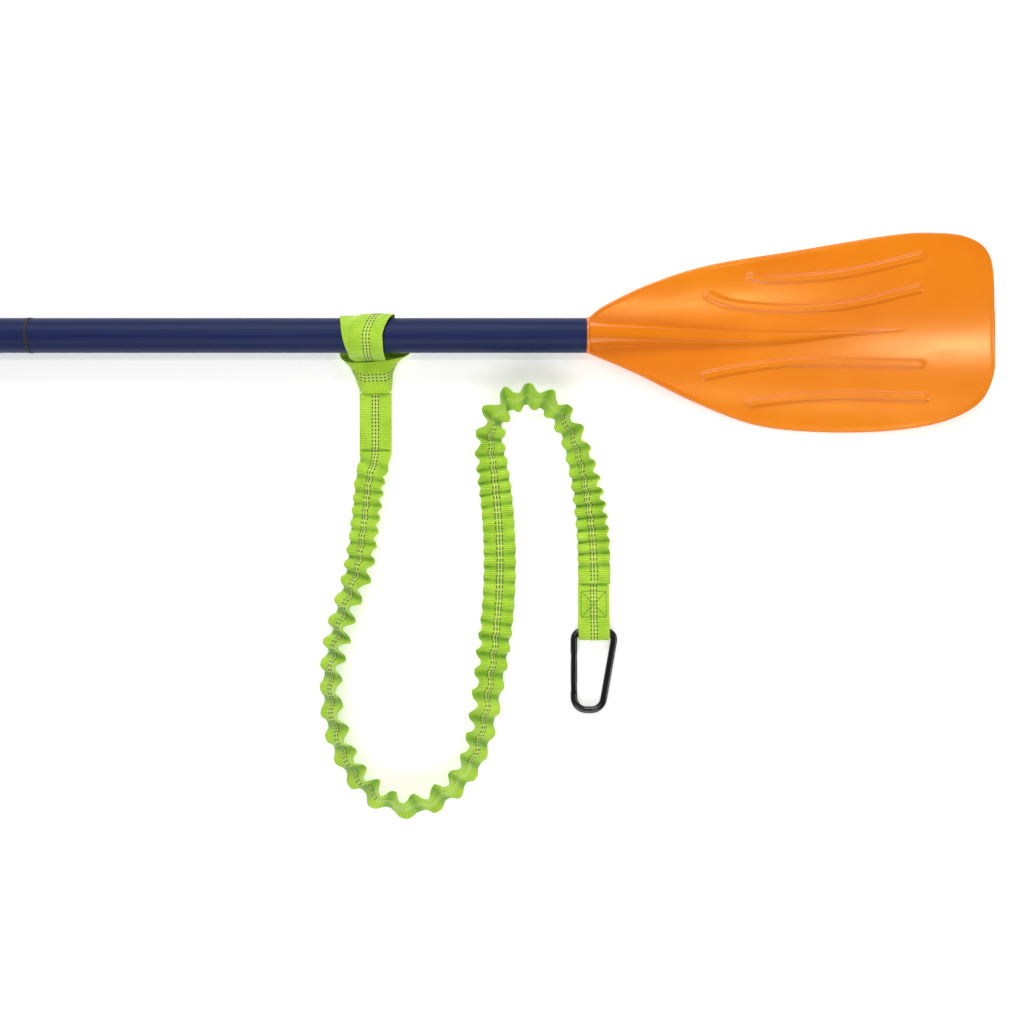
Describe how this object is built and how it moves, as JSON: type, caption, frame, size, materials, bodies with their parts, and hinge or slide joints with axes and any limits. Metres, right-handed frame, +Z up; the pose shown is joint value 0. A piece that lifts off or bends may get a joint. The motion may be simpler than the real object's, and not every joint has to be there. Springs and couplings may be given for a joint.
{
  "type": "kayak paddle with leash",
  "caption": "Take-apart double-bladed kayak paddle with spooned plastic blades, blue shaft, choked elastic webbing leash and snap hook.",
  "frame": {"origin": "on the surface that the paddle lies on, under the centre joint", "axes": "+X along the shaft towards the leashed half's blade, +Y towards the blades' longer edge, +Z up, the face side of the blades"},
  "size_m": [1.6716, 0.5127, 0.0403],
  "materials": {
    "blade_plastic": "gloss moulded",
    "tube_aluminium": "drawn",
    "shaft_skin": "satin",
    "rivet_aluminium": "satin",
    "foam": "closed-cell foam",
    "black_rubber": "matt",
    "bright_steel": "satin",
    "lime_webbing": "woven",
    "core_rubber": "braided",
    "thread": "thread",
    "black_anodised": "black anodised, glossy"
  },
  "bodies": {
    "right_half": {"blade_right": "blade_plastic", "shaft_tube_right": "tube_aluminium", "shaft_sleeve_right": "shaft_skin", "blade_rivet_right": "rivet_aluminium", "float_plug_right": "foam", "ferrule_tube": "tube_aluminium", "ferrule_rivet": "rivet_aluminium", "snap_spring": "bright_steel"},
    "button": {"snap_button": "bright_steel"},
    "ring": {"joint_ring": "black_rubber"},
    "left_half": {"blade_left": "blade_plastic", "shaft_tube_left": "tube_aluminium", "shaft_sleeve_left": "shaft_skin", "blade_rivet_left": "rivet_aluminium", "float_plug_left": "foam"},
    "leash": {"shaft_loop": "lime_webbing", "loop_collar": "lime_webbing", "leash_tail": "lime_webbing", "elastic_sleeve": "lime_webbing", "bungee_core": "core_rubber", "end_tab": "lime_webbing", "tab_box_stitch": "thread", "sleeve_bartacks": "thread"},
    "snap_hook": {"carabiner_body": "black_anodised", "gate_pin": "bright_steel"},
    "hook_gate": {"carabiner_gate": "black_anodised", "latch_pin": "bright_steel", "gate_spring": "bright_steel"}
  },
  "joints": [
    {"name": "feather_turn", "type": "hinge", "parent": "right_half", "child": "ring", "pos_m": [0, 0, 0.022], "axis": [1, 0, 0], "range_deg": [-60, 60], "deforming": ["snap_button"]},
    {"name": "ferrule_pull", "type": "slide", "parent": "ring", "child": "left_half", "axis": [-1, 0, 0], "range_m": [0, 0.12]},
    {"name": "button_press", "type": "slide", "parent": "right_half", "child": "button", "axis": [0, 0, -1], "range_m": [0, 0.0042], "stiffness_N_per_m": 1500, "springref_m": -0.004, "deforming": ["snap_spring"]},
    {"name": "leash_slide", "type": "slide", "parent": "right_half", "child": "leash", "axis": [1, 0, 0], "range_m": [-0.22, 0.015]},
    {"name": "hook_swing", "type": "hinge", "parent": "leash", "child": "snap_hook", "pos_m": [0.4884, -0.2572, 0.0054], "axis": [-1, 0, 0], "range_deg": [0, 42]},
    {"name": "gate_open", "type": "hinge", "parent": "snap_hook", "child": "hook_gate", "pos_m": [0.4702, -0.3065, 0.0054], "axis": [0, 0, -1], "range_deg": [0, 26], "stiffness_Nm_per_rad": 0.05, "springref_deg": -22.92}
  ]
}
